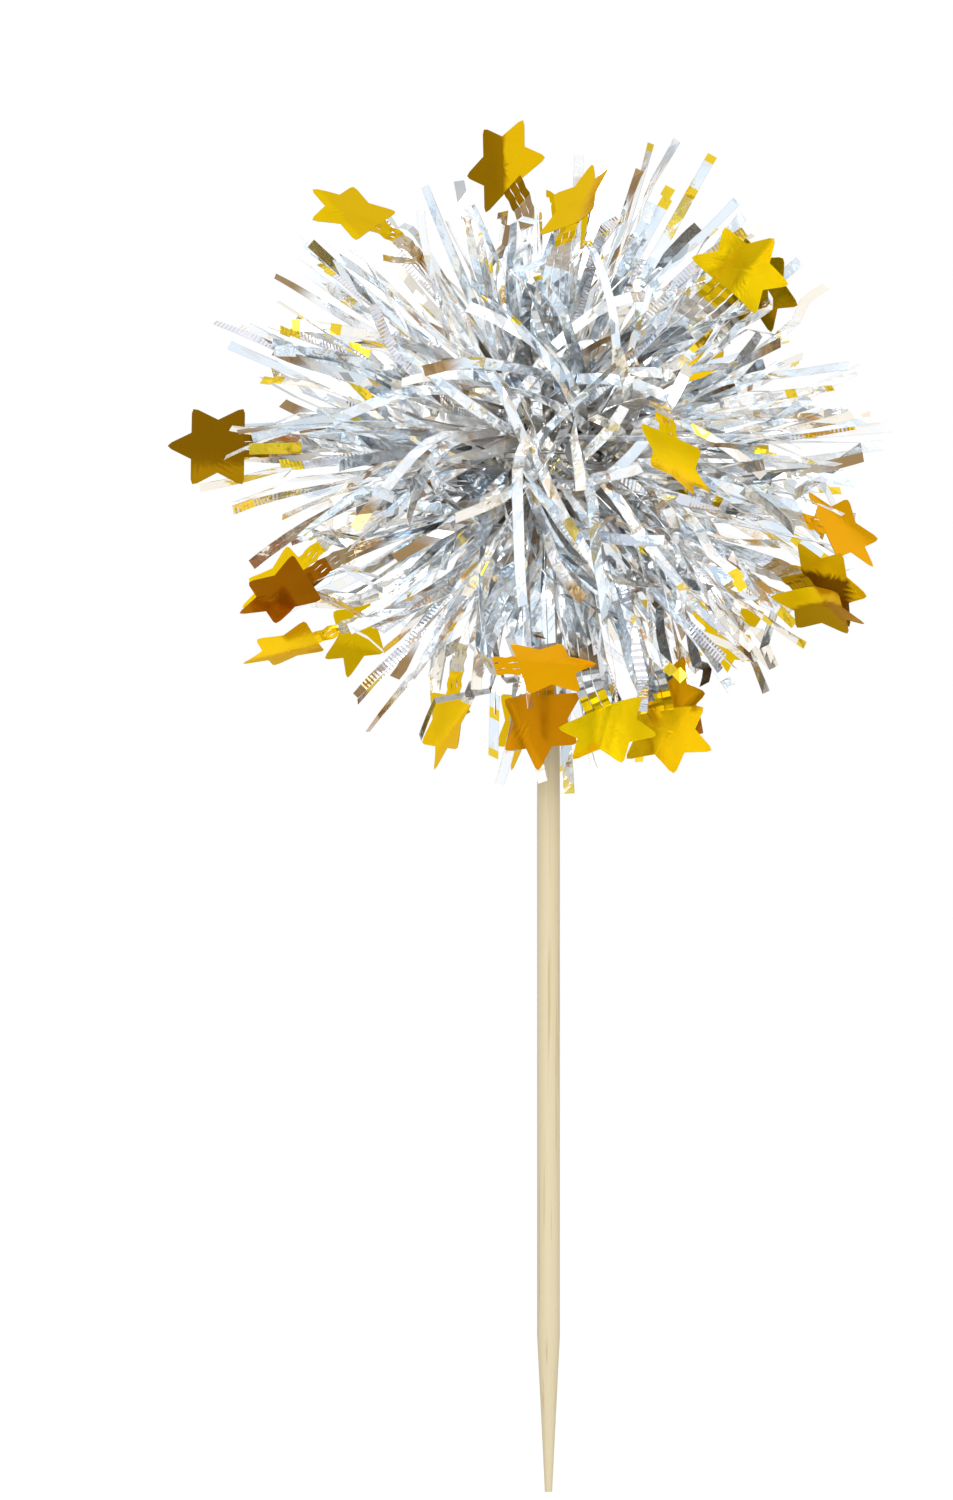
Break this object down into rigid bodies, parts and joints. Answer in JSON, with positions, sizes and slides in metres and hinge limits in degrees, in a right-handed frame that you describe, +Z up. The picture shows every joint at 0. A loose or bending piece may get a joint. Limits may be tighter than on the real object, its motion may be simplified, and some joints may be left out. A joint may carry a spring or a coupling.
{
  "type": "cupcake topper",
  "caption": "Party pick: a ball of slit silver film with die-cut gold stars at its edge, wire-bound round the head of a pointed bamboo skewer that pushes into a cake.",
  "frame": {"origin": "on the skewer's axis where it enters the cake, 45 mm above its point", "axes": "+Z up the skewer, -Y towards the viewer of the picture, +X to that viewer's right"},
  "size_m": [0.0789, 0.0734, 0.1504],
  "materials": {
    "bamboo": "bare, sanded",
    "glue": "set hot glue",
    "wire": "drawn",
    "silver_film": "metallised, bright silver",
    "gold_film": "metallised, printed gold"
  },
  "bodies": {
    "topper": {"skewer": "bamboo", "glue_sleeve": "glue", "binding_wire": "wire", "film_ply_1": "silver_film", "film_ply_2": "silver_film", "film_ply_3": "silver_film", "film_ply_4": "silver_film", "film_ply_5": "silver_film", "film_ply_6": "silver_film", "film_ply_7": "silver_film", "film_ply_8": "silver_film"},
    "star_01": {"star_01": "gold_film"},
    "star_02": {"star_02": "gold_film"},
    "star_03": {"star_03": "gold_film"},
    "star_04": {"star_04": "gold_film"},
    "star_05": {"star_05": "gold_film"},
    "star_06": {"star_06": "gold_film"},
    "star_07": {"star_07": "gold_film"},
    "star_08": {"star_08": "gold_film"},
    "star_09": {"star_09": "gold_film"},
    "star_10": {"star_10": "gold_film"},
    "star_11": {"star_11": "gold_film"},
    "star_12": {"star_12": "gold_film"},
    "star_13": {"star_13": "gold_film"},
    "star_14": {"star_14": "gold_film"},
    "star_15": {"star_15": "gold_film"},
    "star_16": {"star_16": "gold_film"},
    "star_17": {"star_17": "gold_film"},
    "star_18": {"star_18": "gold_film"},
    "star_19": {"star_19": "gold_film"},
    "star_20": {"star_20": "gold_film"},
    "star_21": {"star_21": "gold_film"},
    "star_22": {"star_22": "gold_film"},
    "star_23": {"star_23": "gold_film"},
    "star_24": {"star_24": "gold_film"},
    "star_25": {"star_25": "gold_film"},
    "star_26": {"star_26": "gold_film"}
  },
  "joints": [
    {"name": "star_01_flex", "type": "hinge", "parent": "topper", "child": "star_01", "pos_m": [-0.00303, 0.00219, 0.09596], "axis": [-0.603, 0.4864, -0.6323], "range_deg": [-12, 12], "stiffness_Nm_per_rad": 0.00003},
    {"name": "star_02_flex", "type": "hinge", "parent": "topper", "child": "star_02", "pos_m": [-0.01657, -0.00919, 0.09134], "axis": [-0.4364, -0.8263, -0.356], "range_deg": [-12, 12], "stiffness_Nm_per_rad": 0.00003},
    {"name": "star_03_flex", "type": "hinge", "parent": "topper", "child": "star_03", "pos_m": [0.00143, -0.01665, 0.09019], "axis": [-0.6791, 0.7094, -0.1887], "range_deg": [-12, 12], "stiffness_Nm_per_rad": 0.00003},
    {"name": "star_04_flex", "type": "hinge", "parent": "topper", "child": "star_04", "pos_m": [0.01709, -0.01235, 0.08443], "axis": [-0.7649, -0.3932, 0.5103], "range_deg": [-12, 12], "stiffness_Nm_per_rad": 0.00003},
    {"name": "star_05_flex", "type": "hinge", "parent": "topper", "child": "star_05", "pos_m": [0.02035, -0.00125, 0.08385], "axis": [-0.53, 0.2067, 0.8224], "range_deg": [-12, 12], "stiffness_Nm_per_rad": 0.00003},
    {"name": "star_06_flex", "type": "hinge", "parent": "topper", "child": "star_06", "pos_m": [-0.0307, -0.002, 0.069], "axis": [0, -0.5, -0.866], "range_deg": [-12, 12], "stiffness_Nm_per_rad": 0.00003},
    {"name": "star_07_flex", "type": "hinge", "parent": "topper", "child": "star_07", "pos_m": [-0.02401, -0.011, 0.05581], "axis": [0.3039, 0.8192, -0.4864], "range_deg": [-12, 12], "stiffness_Nm_per_rad": 0.00003},
    {"name": "star_08_flex", "type": "hinge", "parent": "topper", "child": "star_08", "pos_m": [-0.02506, 0.003, 0.05805], "axis": [0.3644, -0.8387, -0.4047], "range_deg": [-12, 12], "stiffness_Nm_per_rad": 0.00003},
    {"name": "star_09_flex", "type": "hinge", "parent": "topper", "child": "star_09", "pos_m": [-0.02308, -0.00445, 0.04889], "axis": [0.2544, -0.8781, -0.4052], "range_deg": [-12, 12], "stiffness_Nm_per_rad": 0.00003},
    {"name": "star_10_flex", "type": "hinge", "parent": "topper", "child": "star_10", "pos_m": [-0.00566, -0.02281, 0.04482], "axis": [-0.1967, -0.7572, 0.6228], "range_deg": [-12, 12], "stiffness_Nm_per_rad": 0.00003},
    {"name": "star_11_flex", "type": "hinge", "parent": "topper", "child": "star_11", "pos_m": [-0.00064, -0.00772, 0.04413], "axis": [0.8724, -0.4851, 0.0603], "range_deg": [-12, 12], "stiffness_Nm_per_rad": 0.00003},
    {"name": "star_12_flex", "type": "hinge", "parent": "topper", "child": "star_12", "pos_m": [0.00456, -0.01606, 0.04174], "axis": [0.9135, 0, 0.4067], "range_deg": [-12, 12], "stiffness_Nm_per_rad": 0.00003},
    {"name": "star_13_flex", "type": "hinge", "parent": "topper", "child": "star_13", "pos_m": [0.01166, -0.00659, 0.04197], "axis": [0.9781, 0, 0.2079], "range_deg": [-12, 12], "stiffness_Nm_per_rad": 0.00003},
    {"name": "star_14_flex", "type": "hinge", "parent": "topper", "child": "star_14", "pos_m": [0.01071, 0.00365, 0.04498], "axis": [0.625, -0.433, 0.6495], "range_deg": [-12, 12], "stiffness_Nm_per_rad": 0.00003},
    {"name": "star_15_flex", "type": "hinge", "parent": "topper", "child": "star_15", "pos_m": [0.01212, -0.02735, 0.07101], "axis": [0.6795, 0.6824, -0.2693], "range_deg": [-12, 12], "stiffness_Nm_per_rad": 0.00003},
    {"name": "star_16_flex", "type": "hinge", "parent": "topper", "child": "star_16", "pos_m": [0.02808, -0.00041, 0.06105], "axis": [-0.3093, 0.5868, 0.7483], "range_deg": [-12, 12], "stiffness_Nm_per_rad": 0.00003},
    {"name": "star_17_flex", "type": "hinge", "parent": "topper", "child": "star_17", "pos_m": [0.02557, -0.00335, 0.05519], "axis": [-0.1585, -0.6124, 0.7745], "range_deg": [-12, 12], "stiffness_Nm_per_rad": 0.00003},
    {"name": "star_18_flex", "type": "hinge", "parent": "topper", "child": "star_18", "pos_m": [0.02628, -0.01159, 0.05452], "axis": [0.8458, 0.4924, 0.2055], "range_deg": [-12, 12], "stiffness_Nm_per_rad": 0.00003},
    {"name": "star_19_flex", "type": "hinge", "parent": "topper", "child": "star_19", "pos_m": [-0.01008, 0.002, 0.04422], "axis": [0.4924, -0.866, -0.0868], "range_deg": [-12, 12], "stiffness_Nm_per_rad": 0.00003},
    {"name": "star_20_flex", "type": "hinge", "parent": "topper", "child": "star_20", "pos_m": [-0.00254, 0.009, 0.04428], "axis": [0.4981, -0.866, -0.0436], "range_deg": [-12, 12], "stiffness_Nm_per_rad": 0.00003},
    {"name": "star_21_flex", "type": "hinge", "parent": "topper", "child": "star_21", "pos_m": [-0.01518, 0.02194, 0.07809], "axis": [-0.7427, -0.2198, -0.6325], "range_deg": [-12, 12], "stiffness_Nm_per_rad": 0.00003},
    {"name": "star_22_flex", "type": "hinge", "parent": "topper", "child": "star_22", "pos_m": [0.01432, 0.02277, 0.07726], "axis": [-0.8066, 0.3009, 0.5088], "range_deg": [-12, 12], "stiffness_Nm_per_rad": 0.00003},
    {"name": "star_23_flex", "type": "hinge", "parent": "topper", "child": "star_23", "pos_m": [0.00085, 0.02616, 0.05715], "axis": [0.9801, -0.1053, -0.1685], "range_deg": [-12, 12], "stiffness_Nm_per_rad": 0.00003},
    {"name": "star_24_flex", "type": "hinge", "parent": "topper", "child": "star_24", "pos_m": [-0.01773, 0.01604, 0.05194], "axis": [0.2455, -0.5329, -0.8098], "range_deg": [-12, 12], "stiffness_Nm_per_rad": 0.00003},
    {"name": "star_25_flex", "type": "hinge", "parent": "topper", "child": "star_25", "pos_m": [0.01692, 0.01688, 0.05198], "axis": [0.4509, 0.3419, 0.8245], "range_deg": [-12, 12], "stiffness_Nm_per_rad": 0.00003},
    {"name": "star_26_flex", "type": "hinge", "parent": "topper", "child": "star_26", "pos_m": [0.00251, 0.01859, 0.08997], "axis": [-0.8204, -0.383, 0.4245], "range_deg": [-12, 12], "stiffness_Nm_per_rad": 0.00003}
  ]
}
